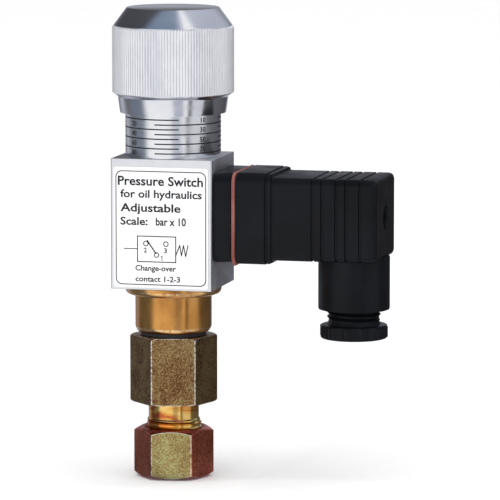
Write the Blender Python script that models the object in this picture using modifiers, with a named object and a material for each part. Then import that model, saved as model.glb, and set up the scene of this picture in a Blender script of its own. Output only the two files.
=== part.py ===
"""Adjustable pressure switch with a plug connector and a cone tube fitting.

The switch stands upright on its union nut.  +Z is up, the rating plate faces -Y
and the plug points along +X.  All sizes are in metres.
"""
import math

import bmesh
import bpy

MM = 0.001

# Driving sizes.
FIT = 0.05 * MM             # gap left between two faces that touch
KNOB_RADIUS = 19.1 * MM
KNOB_TOP = 148.2 * MM       # height of the whole switch
KNOB_BOTTOM = 115.3 * MM    # lower edge of the knob's skirt, fully unscrewed
KNOB_TRAVEL = 12.0 * MM     # eight turns of the spindle
BARREL_RADIUS = 15.0 * MM
BLOCK_WIDTH = 32.4 * MM
BLOCK_DEPTH = 30.4 * MM
BLOCK_BOTTOM = 60.8 * MM
BLOCK_TOP = 101.8 * MM
PLATE_WIDTH = 30.4 * MM
PLATE_HEIGHT = 37.8 * MM
ADAPTER_FLATS = 24.0 * MM
ADAPTER_BOTTOM = 23.7 * MM
ADAPTER_TOP = 45.1 * MM
NUT_FLATS = 22.0 * MM
NUT_TOP = 15.6 * MM
STUD_RADIUS = 6.6 * MM      # G1/4 stud of the adapter
THREAD_RADIUS = 8.9 * MM    # M18 x 1.5 for the union nut
TUBE_RADIUS = 6.1 * MM      # seat of a 12 mm tube
CONNECTOR_CENTRE = 83.7 * MM
CONNECTOR_SIDE = 28.0 * MM
BASE_FACE = 22.0 * MM       # front of the connector base, from the main axis
PLUG_FACE = 23.6 * MM
SKIRT_END = 32.8 * MM
PLUG_END = 68.2 * MM
STUB_X = 58.2 * MM
STUB_RADIUS = 11.2 * MM
STUB_BOTTOM = 54.9 * MM
STUB_TOP = 71.4 * MM        # ends inside the floor of the cover
GLAND_BOTTOM = 45.8 * MM
PIN_RADIUS = 9.0 * MM       # contacts lie this far from the connector's centre

# The main axis stands left of the origin, so that the whole object is centred.
AXIS_X = -(STUB_X + STUB_RADIUS - KNOB_RADIUS) / 2

ROUND = 32                  # facets of a large turned piece
SMALL = 16                  # facets of a small one


def clear_scene():
    for old in list(bpy.data.objects):
        bpy.data.objects.remove(old, do_unlink=True)


def new_collection(name):
    group = bpy.data.collections.new(name)
    bpy.context.scene.collection.children.link(group)
    return group


clear_scene()
PARTS = new_collection("pressure_switch")
CUTTERS = new_collection("cutters")


def finish(name, colour, roughness, metallic):
    """One Principled material, by its plain name."""
    known = bpy.data.materials.get(name)
    if known:
        return known
    paint = bpy.data.materials.new(name)
    paint.use_nodes = True
    shader = paint.node_tree.nodes["Principled BSDF"]
    shader.inputs["Base Color"].default_value = (*colour, 1.0)
    shader.inputs["Roughness"].default_value = roughness
    shader.inputs["Metallic"].default_value = metallic
    return paint


ALUMINIUM = ("aluminium", (0.78, 0.79, 0.81), 0.30, 1.0)
BRASS = ("brass", (0.72, 0.45, 0.18), 0.30, 1.0)
YELLOW_ZINC = ("yellow_zinc", (0.52, 0.42, 0.20), 0.35, 1.0)
STEEL = ("steel", (0.55, 0.56, 0.58), 0.35, 1.0)
TINNED = ("tinned_contact", (0.80, 0.78, 0.72), 0.30, 1.0)
BLACK = ("black_polyamide", (0.02, 0.02, 0.022), 0.45, 0.0)
GREY = ("grey_polyamide", (0.30, 0.31, 0.33), 0.50, 0.0)
RED_RUBBER = ("red_rubber", (0.50, 0.16, 0.10), 0.60, 0.0)
BLACK_RUBBER = ("black_rubber", (0.03, 0.03, 0.03), 0.70, 0.0)
LABEL = ("label", (0.90, 0.90, 0.90), 0.50, 0.0)
INSULATION = ("wire_insulation", (0.10, 0.20, 0.45), 0.50, 0.0)
EARTH_GREEN = ("earth_insulation", (0.20, 0.45, 0.10), 0.50, 0.0)


def place(name, mesh, spot, turn, look):
    """Put a mesh in the model.  Without a look it is a cutter."""
    body = bpy.data.objects.new(name, mesh)
    body.location = (AXIS_X + spot[0], spot[1], spot[2])
    body.rotation_euler = turn
    if look:
        paint = finish(*look)
        mesh.materials.append(paint)
        # Each piece keeps a material of its own, a copy of its finish.
        body.material_slots[0].material = paint.copy()
        body.material_slots[0].material.name = name + "_finish"
        PARTS.objects.link(body)
    else:
        body.display_type = "WIRE"
        body.hide_render = True
        CUTTERS.objects.link(body)
    return body


ALONG_X = (0.0, math.pi / 2, 0.0)
ALONG_Y = (-math.pi / 2, 0.0, 0.0)


def turned(name, outline, look=None, spot=(0, 0, 0), turn=(0, 0, 0), steps=ROUND):
    """Revolve an outline of (radius, height) about the piece's own Z axis.

    The outline runs down the outer side and back up the bore; one that starts
    and ends on the axis is solid.
    """
    mesh = bpy.data.meshes.new(name)
    points = [(radius, 0.0, height) for radius, height in outline]
    edges = [(i, i + 1) for i in range(len(points) - 1)]
    if outline[0][0] > 0:
        edges.append((len(points) - 1, 0))
    mesh.from_pydata(points, edges, [])
    body = place(name, mesh, spot, turn, look)
    lathe = body.modifiers.new("lathe", "SCREW")
    lathe.steps = steps
    lathe.render_steps = steps
    lathe.use_merge_vertices = True
    lathe.merge_threshold = 0.00001
    lathe.use_smooth_shade = False
    return body


def rod(name, radius, low, high, look=None, spot=(0, 0, 0), turn=(0, 0, 0), steps=SMALL):
    outline = [(0.0, high), (radius, high), (radius, low), (0.0, low)]
    return turned(name, outline, look, spot, turn, steps)


def slab(name, low, high, look=None, corner=0.0, along=0, segments=3):
    """A box between two corners, with rounded edges along one axis."""
    size = [high[i] - low[i] for i in range(3)]
    centre = [(high[i] + low[i]) / 2 for i in range(3)]
    shape = bmesh.new()
    bmesh.ops.create_cube(shape, size=1.0)
    bmesh.ops.scale(shape, vec=size, verts=shape.verts)
    if corner:
        edges = []
        for edge in shape.edges:
            run = edge.verts[1].co - edge.verts[0].co
            if abs(run[along]) > 0.5 * size[along]:
                edges.append(edge)
        bmesh.ops.bevel(
            shape, geom=edges, offset=corner, segments=segments, profile=0.5, affect="EDGES"
        )
    mesh = bpy.data.meshes.new(name)
    shape.to_mesh(mesh)
    shape.free()
    return place(name, mesh, centre, (0, 0, 0), look)


def hexagon(name, flats, low, high, look, chamfer, bore):
    """A bored hexagon bar whose ends are turned off at thirty degrees."""
    corner = flats / math.sqrt(3)
    shape = bmesh.new()
    bmesh.ops.create_cone(
        shape, cap_ends=True, segments=6, radius1=corner, radius2=corner, depth=high - low
    )
    mesh = bpy.data.meshes.new(name)
    shape.to_mesh(mesh)
    shape.free()
    # The flats stay where the spanner left them, fifteen degrees off the block.
    body = place(name, mesh, (0, 0, (low + high) / 2), (0, 0, math.radians(-15)), look)
    face = flats / 2 - chamfer
    rim = corner + 0.5 * MM
    drop = (rim - face) * math.tan(math.radians(30))
    outline = [(face, high), (rim, high - drop), (rim, low + drop), (face, low)]
    envelope = turned(name + "_envelope", outline + bore)
    combine(body, envelope, "INTERSECT")
    return body


def combine(body, tool, how):
    step = body.modifiers.new(tool.name, "BOOLEAN")
    step.operation = how
    step.solver = "EXACT"
    step.object = tool
    weld = body.modifiers.new("weld", "WELD")
    weld.merge_threshold = 0.002 * MM


def cut(body, *tools):
    for tool in tools:
        combine(body, tool, "DIFFERENCE")


def join(body, *tools):
    for tool in tools:
        combine(body, tool, "UNION")


def wire(name, route, radius, look):
    """A round wire through the points of a route, measured from the main axis."""
    curve = bpy.data.curves.new(name, "CURVE")
    curve.dimensions = "3D"
    curve.bevel_depth = radius
    curve.bevel_resolution = 2
    curve.use_fill_caps = True
    line = curve.splines.new("POLY")
    line.points.add(len(route) - 1)
    for point, spot in zip(line.points, route):
        point.co = (*spot, 1.0)
    return place(name, curve, (0, 0, 0), (0, 0, 0), look)


# ---------------------------------------------------------------- housing block

SPRING_BORE = 9.8 * MM
SPIGOT_RADIUS = 12.0 * MM       # foot of the barrel, screwed into the block
SPIGOT_BOTTOM = 95.5 * MM
HOUSING_THREAD = 9.0 * MM       # top spigot of the piston housing
POCKET_LOW = (10.4 * MM, -10.4 * MM, 73.2 * MM)
POCKET_HIGH = (16.6 * MM, 12.4 * MM, 94.7 * MM)
BASE_SCREW_Y = 11.3 * MM
BASE_SCREW_RISE = 12.2 * MM
SWITCH_SCREW_Y = 6.5 * MM
SWITCH_SCREW_Z = 88.6 * MM
EARTH_SCREW = (-5.0 * MM, 77.0 * MM)
BACK_ROUNDING = 1.6 * MM


def base_screw_places():
    for side in (-1, 1):
        for level in (-1, 1):
            yield side * BASE_SCREW_Y, CONNECTOR_CENTRE + level * BASE_SCREW_RISE


def soften_back(body):
    """Break the upright front edges of a block and round its back edges but the lowest."""
    shape = bmesh.new()
    shape.from_mesh(body.data)
    front, back = [], []
    for edge in shape.edges:
        middle = (edge.verts[0].co + edge.verts[1].co) / 2
        run = edge.verts[1].co - edge.verts[0].co
        if abs(run.z) > MM and middle.y < 0:
            front.append(edge)
        elif abs(run.y) < MM and middle.y > MM and middle.z > -MM:
            back.append(edge)
    for edges, size, steps in ((front, 0.3 * MM, 1), (back, BACK_ROUNDING, 4)):
        bmesh.ops.bevel(
            shape, geom=edges, offset=size, segments=steps, profile=0.5, affect="EDGES"
        )
    shape.to_mesh(body.data)
    shape.free()


def switch_housing():
    half_width = BLOCK_WIDTH / 2
    half_depth = BLOCK_DEPTH / 2
    body = slab(
        "switch_housing",
        (-half_width, -half_depth, BLOCK_BOTTOM), (half_width, half_depth, BLOCK_TOP), ALUMINIUM,
    )
    soften_back(body)
    bore = [
        (0.0, 103 * MM), (SPIGOT_RADIUS + FIT, 103 * MM), (SPIGOT_RADIUS + FIT, SPIGOT_BOTTOM - FIT),
        (SPRING_BORE, SPIGOT_BOTTOM - FIT), (SPRING_BORE, 69.5 * MM),
        (HOUSING_THREAD + FIT, 69.5 * MM), (HOUSING_THREAD + FIT, 60 * MM), (0.0, 60 * MM),
    ]
    cut(
        body,
        turned("main_bore", bore),
        slab("switch_pocket", POCKET_LOW, POCKET_HIGH),
        slab("arm_slot", (5 * MM, 2.3 * MM, 78.5 * MM), (11 * MM, 6.7 * MM, 84.2 * MM)),
    )
    for number, (y, z) in enumerate(base_screw_places(), 1):
        cut(body, rod(f"base_tap_{number}", 1.0 * MM, 11.8 * MM, 17 * MM, None, (0, y, z), ALONG_X, 12))
    for number, side in enumerate((-1, 1), 1):
        spot = (0, side * SWITCH_SCREW_Y, SWITCH_SCREW_Z)
        cut(body, rod(f"switch_tap_{number}", 0.95 * MM, 8.6 * MM, 11 * MM, None, spot, ALONG_X, 12))
    cut(body, rod("earth_tap", 1.2 * MM, 9.2 * MM, 11 * MM, None, (0, *EARTH_SCREW), ALONG_X, 12))


def rating_plate():
    middle = (BLOCK_TOP + BLOCK_BOTTOM) / 2 - 0.9 * MM
    face = -BLOCK_DEPTH / 2 - FIT
    slab(
        "rating_plate",
        (-PLATE_WIDTH / 2, face - 0.25 * MM, middle - PLATE_HEIGHT / 2),
        (PLATE_WIDTH / 2, face, middle + PLATE_HEIGHT / 2),
        LABEL, corner=0.8 * MM, along=1,
    )


# ------------------------------------------------------- adjusting knob and barrel

SPRING_ROOM = 9.6 * MM          # bore of the barrel round the spring
SPINDLE_RADIUS = 5.95 * MM      # M12 x 1.5
SPINDLE_BOTTOM = 120.0 * MM
SPINDLE_TOP = 143.5 * MM
BARREL_TOP = 125.0 * MM
BARREL_SHOULDER = 119.0 * MM
SEAT_TOP = 117.4 * MM
SEAT_BOTTOM = 115.0 * MM
BALL_RADIUS = 2.0 * MM


def scale_barrel():
    turned(
        "scale_barrel",
        [
            (BARREL_RADIUS - 0.4 * MM, BARREL_TOP),
            (BARREL_RADIUS, BARREL_TOP - 0.4 * MM),
            (BARREL_RADIUS, BLOCK_TOP + FIT),
            (SPIGOT_RADIUS, BLOCK_TOP + FIT),
            (SPIGOT_RADIUS, SPIGOT_BOTTOM),
            (SPRING_ROOM, SPIGOT_BOTTOM),
            (SPRING_ROOM, BARREL_SHOULDER),
            (SPINDLE_RADIUS + 0.15 * MM, BARREL_SHOULDER),
            (SPINDLE_RADIUS + 0.15 * MM, BARREL_TOP),
        ],
        ALUMINIUM,
    )


def adjusting_knob():
    """A cup that turns on the spindle and slides down over the barrel."""
    ceiling = 137.5 * MM
    origin = KNOB_BOTTOM
    outline = [
        (0.0, KNOB_TOP),
        (14.5 * MM, KNOB_TOP),
        (KNOB_RADIUS, 142.0 * MM),
        (KNOB_RADIUS, 121.7 * MM),
        (17.35 * MM, 120.4 * MM),
        (16.65 * MM, KNOB_BOTTOM),
        (BARREL_RADIUS + 0.35 * MM, KNOB_BOTTOM),
        (BARREL_RADIUS + 0.35 * MM, ceiling),
        (SPINDLE_RADIUS + FIT, ceiling),
        (SPINDLE_RADIUS + FIT, SPINDLE_TOP + FIT),
        (0.0, SPINDLE_TOP + FIT),
    ]
    lowered = [(radius, height - origin) for radius, height in outline]
    body = turned("adjusting_knob", lowered, ALUMINIUM, (0, 0, origin))
    cut(body, rod("set_screw_tap", 1.75 * MM, 5 * MM, 21 * MM, None, (0, 0, 140.4 * MM), ALONG_Y, 16))
    rod(
        "knob_set_screw", 1.6 * MM, SPINDLE_RADIUS + FIT, 17.4 * MM,
        STEEL, (0, 0, 140.4 * MM), ALONG_Y, 16,
    )


def adjusting_spindle():
    socket = BALL_RADIUS + 0.1 * MM
    outline = [
        (0.0, SPINDLE_TOP),
        (SPINDLE_RADIUS, SPINDLE_TOP),
        (SPINDLE_RADIUS, SPINDLE_BOTTOM),
        (socket, SPINDLE_BOTTOM),
        (socket, SPINDLE_BOTTOM + 1.6 * MM),
        (0.0, SPINDLE_BOTTOM + 1.6 * MM),
    ]
    turned("adjusting_spindle", outline, STEEL)


def spring_seat():
    """The upper spring plate and the ball that the spindle presses on."""
    outline = [
        (0.0, SEAT_TOP), (9.1 * MM, SEAT_TOP), (9.1 * MM, SEAT_BOTTOM),
        (4.5 * MM, SEAT_BOTTOM), (4.0 * MM, 112.6 * MM), (0.0, 112.6 * MM),
    ]
    turned("upper_spring_plate", outline, STEEL, steps=32)
    shape = bmesh.new()
    bmesh.ops.create_uvsphere(shape, u_segments=16, v_segments=10, radius=BALL_RADIUS)
    mesh = bpy.data.meshes.new("thrust_ball")
    shape.to_mesh(mesh)
    shape.free()
    place("thrust_ball", mesh, (0, 0, SEAT_TOP + FIT + BALL_RADIUS), (0, 0, 0), STEEL)


# --------------------------------------------------- spring, piston and pressure end

LOWER_SEAT_BOTTOM = 80.0 * MM
LOWER_SEAT_TOP = 82.45 * MM
PISTON_RADIUS = 2.5 * MM


def main_spring():
    turns = 5.5
    per_turn = 10
    wire_radius = 1.5 * MM
    coil_radius = 7.2 * MM
    low = LOWER_SEAT_TOP + wire_radius + 0.1 * MM
    high = SEAT_BOTTOM - wire_radius - 0.1 * MM
    count = int(turns * per_turn)
    route = []
    for step in range(count + 1):
        angle = 2 * math.pi * step / per_turn
        rise = low + (high - low) * step / count
        route.append((coil_radius * math.cos(angle), coil_radius * math.sin(angle), rise))
    wire("main_spring", route, wire_radius, STEEL)


def lower_spring_plate():
    """The plate under the spring, with the arm that works the microswitch."""
    outline = [
        (0.0, 84.6 * MM), (4.0 * MM, 84.6 * MM), (4.5 * MM, LOWER_SEAT_TOP),
        (9.2 * MM, LOWER_SEAT_TOP), (9.2 * MM, LOWER_SEAT_BOTTOM), (0.0, LOWER_SEAT_BOTTOM),
    ]
    body = turned("lower_spring_plate", outline, STEEL, steps=32)
    low = (6.0 * MM, 3.0 * MM, LOWER_SEAT_BOTTOM + 0.3 * MM)
    high = (13.6 * MM, 6.0 * MM, LOWER_SEAT_TOP - 0.2 * MM)
    join(body, slab("switch_arm", low, high))


def piston():
    top = LOWER_SEAT_BOTTOM - FIT
    outline = [
        (0.0, top), (3.0 * MM, top), (3.0 * MM, 68.4 * MM), (4.6 * MM, 68.4 * MM),
        (4.6 * MM, 66.9 * MM), (PISTON_RADIUS, 66.9 * MM), (PISTON_RADIUS, 57.2 * MM),
        (0.0, 57.2 * MM),
    ]
    turned("piston", outline, STEEL, steps=32)


def piston_housing():
    """The brass body between the block and the hexagon adapter."""
    bore = PISTON_RADIUS + 0.06 * MM
    port = STUD_RADIUS + 0.1 * MM
    outline = [
        (HOUSING_THREAD, 69.0 * MM), (HOUSING_THREAD, BLOCK_BOTTOM - FIT),
        (15.2 * MM, BLOCK_BOTTOM - FIT), (15.2 * MM, 59.3 * MM), (14.8 * MM, 58.5 * MM),
        (13.9 * MM, 58.05 * MM), (12.05 * MM, 58.0 * MM), (12.05 * MM, 48.1 * MM),
        (11.6 * MM, 46.9 * MM), (10.7 * MM, 46.2 * MM), (port, 46.2 * MM),
        (port, 56.2 * MM), (bore, 56.2 * MM), (bore, 60.0 * MM), (4.2 * MM, 60.0 * MM),
        (4.2 * MM, 62.2 * MM), (bore, 62.2 * MM), (bore, 66.5 * MM), (5.4 * MM, 66.5 * MM),
        (5.4 * MM, 69.0 * MM),
    ]
    turned("piston_housing", outline, BRASS)
    seal = [
        (4.15 * MM, 62.1 * MM), (4.15 * MM, 60.1 * MM),
        (bore + 0.03 * MM, 60.1 * MM), (bore + 0.03 * MM, 62.1 * MM),
    ]
    turned("piston_seal", seal, BLACK_RUBBER)
    washer = [
        (10.3 * MM, 46.12 * MM), (10.3 * MM, ADAPTER_TOP + FIT),
        (port + 0.1 * MM, ADAPTER_TOP + FIT), (port + 0.1 * MM, 46.12 * MM),
    ]
    turned("port_seal", washer, BLACK_RUBBER, steps=32)


def tube_adapter():
    """The hexagon with a G1/4 stud on top and the M18 cone end below."""
    rough_bore = [(5.5 * MM, ADAPTER_BOTTOM), (5.5 * MM, ADAPTER_TOP)]
    body = hexagon(
        "tube_adapter", ADAPTER_FLATS, ADAPTER_BOTTOM, ADAPTER_TOP, YELLOW_ZINC, 0.4 * MM,
        rough_bore,
    )
    core = [
        (STUD_RADIUS - 0.6 * MM, 55.6 * MM), (STUD_RADIUS, 55.0 * MM),
        (STUD_RADIUS, 40.0 * MM), (7.95 * MM, 40.0 * MM), (7.95 * MM, 18.6 * MM),
        (THREAD_RADIUS, 17.8 * MM), (THREAD_RADIUS, 6.0 * MM), (7.55 * MM, 6.0 * MM),
        (6.79 * MM, 9.6 * MM), (TUBE_RADIUS, 9.6 * MM), (TUBE_RADIUS, 13.0 * MM),
        (4.0 * MM, 13.0 * MM), (4.0 * MM, 55.6 * MM),
    ]
    join(body, turned("adapter_core", core))


def union_nut():
    bore = [
        (6.3 * MM, 0.0), (6.3 * MM, 2.7 * MM), (6.9 * MM, 2.7 * MM),
        (THREAD_RADIUS + 0.15 * MM, 5.0 * MM), (THREAD_RADIUS + 0.15 * MM, NUT_TOP),
    ]
    hexagon("union_nut", NUT_FLATS, 0.0, NUT_TOP, YELLOW_ZINC, 0.5 * MM, bore)
    ring = [
        (6.6 * MM, 9.4 * MM), (7.25 * MM, 6.3 * MM), (8.1 * MM, 5.4 * MM), (8.1 * MM, 4.6 * MM),
        (6.75 * MM, 3.0 * MM), (TUBE_RADIUS, 3.0 * MM), (TUBE_RADIUS, 9.4 * MM),
    ]
    turned("cutting_ring", ring, STEEL)


# ---------------------------------------------------------------- microswitch

CASE_LOW = (10.5 * MM, -10.0 * MM, 84.0 * MM)
CASE_HIGH = (16.0 * MM, 9.6 * MM, 92.2 * MM)
BUTTON_SPOT = (13.2 * MM, 2.0 * MM)
TERMINALS_Y = (-7.0 * MM, 0.0, 7.0 * MM)


def microswitch():
    body = slab("microswitch_case", CASE_LOW, CASE_HIGH, BLACK)
    cut(body, rod("button_bore", 1.25 * MM, 83 * MM, 86.6 * MM, None, (*BUTTON_SPOT, 0), steps=16))
    for number, side in enumerate((-1, 1), 1):
        spot = (0, side * SWITCH_SCREW_Y, SWITCH_SCREW_Z)
        cut(body, rod(f"case_hole_{number}", 1.0 * MM, 10 * MM, 17 * MM, None, spot, ALONG_X, 12))
        outline = [
            (0.0, 17.1 * MM), (1.7 * MM, 17.1 * MM), (1.7 * MM, CASE_HIGH[0] + FIT),
            (0.8 * MM, CASE_HIGH[0] + FIT), (0.8 * MM, 8.8 * MM), (0.0, 8.8 * MM),
        ]
        turned(f"switch_screw_{number}", outline, STEEL, spot, ALONG_X, 12)
    for number, y in enumerate(TERMINALS_Y, 1):
        low = (12.95 * MM, y - 1.2 * MM, CASE_HIGH[2] + FIT)
        slab(f"switch_terminal_{number}", low, (13.45 * MM, y + 1.2 * MM, 94.5 * MM), TINNED)
    rod("switch_button", 1.1 * MM, 83.0 * MM, 85.6 * MM, RED_RUBBER, (*BUTTON_SPOT, 0), steps=16)
    slab(
        "switch_lever",
        (11.2 * MM, -9.4 * MM, 82.5 * MM), (15.2 * MM, 6.5 * MM, 82.85 * MM), STEEL,
    )


def lead_wires():
    end = 17.45 * MM            # just short of the blades' tails
    reach = CONNECTOR_CENTRE
    side = PIN_RADIUS
    routes = {
        "lead_wire_1": [
            (14.2, -7.0, 93.6), (15.6, -7.2, 93.6), (16.8, -8.2, 93.0), (17.1, -9.7, 91.0),
            (17.1, -9.9, 87.0), (16.9, -9.6, 84.9), (16.9, -9.0, 83.7),
        ],
        "lead_wire_2": [
            (14.2, 7.0, 93.6), (14.3, 9.4, 93.6), (14.8, 11.1, 92.6), (15.0, 11.4, 88.0),
            (15.0, 11.4, 84.0), (15.4, 10.6, 82.6), (16.4, 9.4, 82.5), (16.9, 9.0, 83.7),
        ],
        "lead_wire_3": [(14.2, 0.0, 93.6), (15.4, 0.0, 93.5), (16.7, 0.0, 92.7)],
    }
    ends = {
        "lead_wire_1": (end, -side, reach),
        "lead_wire_2": (end, side, reach),
        "lead_wire_3": (end, 0.0, reach + side),
    }
    for name, points in routes.items():
        route = [tuple(value * MM for value in point) for point in points]
        wire(name, route + [ends[name]], 0.6 * MM, INSULATION)
    earth = [(12.2, -2.0, 76.6), (13.4, -1.0, 75.4), (15.6, 0.0, 74.7)]
    route = [tuple(value * MM for value in point) for point in earth]
    wire("earth_wire", route + [(end, 0.0, reach - side)], 0.6 * MM, EARTH_GREEN)
    outline = [
        (0.0, 11.6 * MM), (2.2 * MM, 11.6 * MM), (2.2 * MM, POCKET_LOW[0] + FIT),
        (1.1 * MM, POCKET_LOW[0] + FIT), (1.1 * MM, 9.4 * MM), (0.0, 9.4 * MM),
    ]
    turned("earth_screw", outline, BRASS, (0, *EARTH_SCREW), ALONG_X, 16)


# ---------------------------------------------------------- connector base and plug

SCREW_RADIUS = 1.45 * MM
CAVITY_HALF = 11.7 * MM
CAVITY_END = 62.0 * MM
HEAD_SEAT = 63.6 * MM
GLAND_BORE = 8.65 * MM
GLAND_SHOULDER = 69.7 * MM


def square(name, low_x, high_x, half, look=None, corner=0.0, segments=3):
    """A square plate or block round the connector's centre line."""
    low = (low_x, -half, CONNECTOR_CENTRE - half)
    high = (high_x, half, CONNECTOR_CENTRE + half)
    return slab(name, low, high, look, corner, 0, segments)


def flat_pin(name, low_x, high_x, thick, wide, spot, look=None):
    """A flat strip along X, lying across the line from the centre to its spot."""
    across_y = abs(spot[0]) > abs(spot[1])
    half_y = thick / 2 if across_y else wide / 2
    half_z = wide / 2 if across_y else thick / 2
    centre_z = CONNECTOR_CENTRE + spot[1]
    low = (low_x, spot[0] - half_y, centre_z - half_z)
    return slab(name, low, (high_x, spot[0] + half_y, centre_z + half_z), look)


PINS = (
    ("contact_blade_1", (-PIN_RADIUS, 0.0), 30.5 * MM),
    ("contact_blade_2", (PIN_RADIUS, 0.0), 30.5 * MM),
    ("contact_blade_3", (0.0, PIN_RADIUS), 30.5 * MM),
    ("earth_blade", (0.0, -PIN_RADIUS), 32.0 * MM),
)


def connector_base():
    centre = (0, 0, CONNECTOR_CENTRE)
    body = square(
        "connector_base", BLOCK_WIDTH / 2 + FIT, BASE_FACE, CONNECTOR_SIDE / 2, BLACK, 3.0 * MM
    )
    low = (16.0 * MM, -11.0 * MM, POCKET_LOW[2])
    cut(body, slab("wire_room", low, (19.2 * MM, POCKET_HIGH[1], POCKET_HIGH[2])))
    join(body, rod("screw_boss", 3.4 * MM, 17.0 * MM, 20.0 * MM, None, centre, ALONG_X))
    cut(body, rod("screw_tap", SCREW_RADIUS + 0.1 * MM, 16 * MM, 23 * MM, None, centre, ALONG_X))
    for name, spot, tip in PINS:
        slot = flat_pin(name + "_slot", 18 * MM, 23 * MM, 0.9 * MM, 6.4 * MM, spot)
        cut(body, slot)
        flat_pin(name, 17.6 * MM, tip, 0.8 * MM, 6.3 * MM, spot, TINNED)
    for number, (y, z) in enumerate(base_screw_places(), 1):
        hole = [
            (0.0, 23 * MM), (1.55 * MM, 23 * MM), (1.55 * MM, 20.7 * MM),
            (1.1 * MM, 20.7 * MM), (1.1 * MM, 15 * MM), (0.0, 15 * MM),
        ]
        cut(body, turned(f"base_hole_{number}", hole, None, (0, y, z), ALONG_X, 12))
        outline = [
            (0.0, 21.9 * MM), (1.5 * MM, 21.9 * MM), (1.5 * MM, 20.8 * MM),
            (0.9 * MM, 20.8 * MM), (0.9 * MM, 12.0 * MM), (0.0, 12.0 * MM),
        ]
        turned(f"base_screw_{number}", outline, STEEL, (0, y, z), ALONG_X, 12)


def plug_gasket():
    half = CONNECTOR_SIDE / 2
    body = square("profile_gasket", BASE_FACE + FIT, PLUG_FACE - FIT, half, RED_RUBBER, 3.4 * MM)
    cut(body, square("gasket_window", 20 * MM, 25 * MM, 10.9 * MM))


def plug_housing():
    """Skirt, cover and cable stub in one moulding, hollow from the front."""
    skirt_half = 14.3 * MM
    cover_low = (SKIRT_END - 1 * MM, -13.8 * MM, 70.8 * MM)
    cover_high = (PLUG_END, 13.8 * MM, 96.7 * MM)
    body = square("plug_housing", PLUG_FACE, SKIRT_END, skirt_half, BLACK, 3.0 * MM)
    cover = slab("cover", cover_low, cover_high, None, 2.0 * MM, 0)
    stub_spot = (STUB_X, 0, 0)
    stub = rod("stub", STUB_RADIUS, STUB_BOTTOM, STUB_TOP, None, stub_spot, steps=ROUND)
    join(body, cover, stub)
    centre = (0, 0, CONNECTOR_CENTRE)
    entry = [
        (0.0, 74 * MM), (6.2 * MM, 74 * MM), (6.2 * MM, GLAND_SHOULDER),
        (GLAND_BORE, GLAND_SHOULDER), (GLAND_BORE, 50 * MM), (0.0, 50 * MM),
    ]
    screw_way = [
        (0.0, 70 * MM), (3.6 * MM, 70 * MM), (3.6 * MM, HEAD_SEAT),
        (1.9 * MM, HEAD_SEAT), (1.9 * MM, 60 * MM), (0.0, 60 * MM),
    ]
    cut(
        body,
        square("cavity", 20 * MM, CAVITY_END, CAVITY_HALF),
        turned("gland_bore", entry, None, stub_spot),
        turned("screw_way", screw_way, None, centre, ALONG_X, SMALL),
    )


def contact_carrier():
    """The block inside the plug that holds the sockets and their clamp screws."""
    body = square("contact_carrier", 24.2 * MM, 44.0 * MM, 11.4 * MM, GREY)
    centre = (0, 0, CONNECTOR_CENTRE)
    cut(body, rod("carrier_way", 1.9 * MM, 23 * MM, 46 * MM, None, centre, ALONG_X))
    for number, (_, spot, _) in enumerate(PINS, 1):
        cut(body, flat_pin(f"room_{number}", 23 * MM, 46 * MM, 3.2 * MM, 8.0 * MM, spot))
        socket = flat_pin(
            f"contact_socket_{number}", 24.6 * MM, 44.1 * MM, 3.0 * MM, 7.8 * MM, spot, BRASS
        )
        slit = flat_pin(f"slit_{number}", 24 * MM, 34 * MM, 1.0 * MM, 6.6 * MM, spot)
        seat = (0, spot[0], CONNECTOR_CENTRE + spot[1])
        tap = rod(f"clamp_tap_{number}", 1.25 * MM, 38 * MM, 46 * MM, None, seat, ALONG_X, 12)
        cut(socket, slit, tap)
        outline = [
            (0.0, 46.2 * MM), (2.2 * MM, 46.2 * MM), (2.2 * MM, 44.2 * MM),
            (1.1 * MM, 44.2 * MM), (1.1 * MM, 38.6 * MM), (0.0, 38.6 * MM),
        ]
        turned(f"clamp_screw_{number}", outline, STEEL, seat, ALONG_X, 12)


def plug_screw():
    centre = (0, 0, CONNECTOR_CENTRE)
    under_head = HEAD_SEAT + 1.0 * MM
    outline = [
        (0.0, 66.8 * MM), (3.0 * MM, 66.8 * MM), (3.0 * MM, under_head),
        (SCREW_RADIUS, under_head), (SCREW_RADIUS, 18.0 * MM), (0.0, 18.0 * MM),
    ]
    body = turned("plug_screw", outline, STEEL, centre, ALONG_X, SMALL)
    low = (65.9 * MM, -4 * MM, CONNECTOR_CENTRE - 0.4 * MM)
    cut(body, slab("driver_slot", low, (68 * MM, 4 * MM, CONNECTOR_CENTRE + 0.4 * MM)))
    ring = [
        (3.0 * MM, under_head - FIT), (3.0 * MM, HEAD_SEAT + FIT),
        (2.0 * MM, HEAD_SEAT + FIT), (2.0 * MM, under_head - FIT),
    ]
    turned("plug_screw_seal", ring, BLACK_RUBBER, centre, ALONG_X, SMALL)


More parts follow.
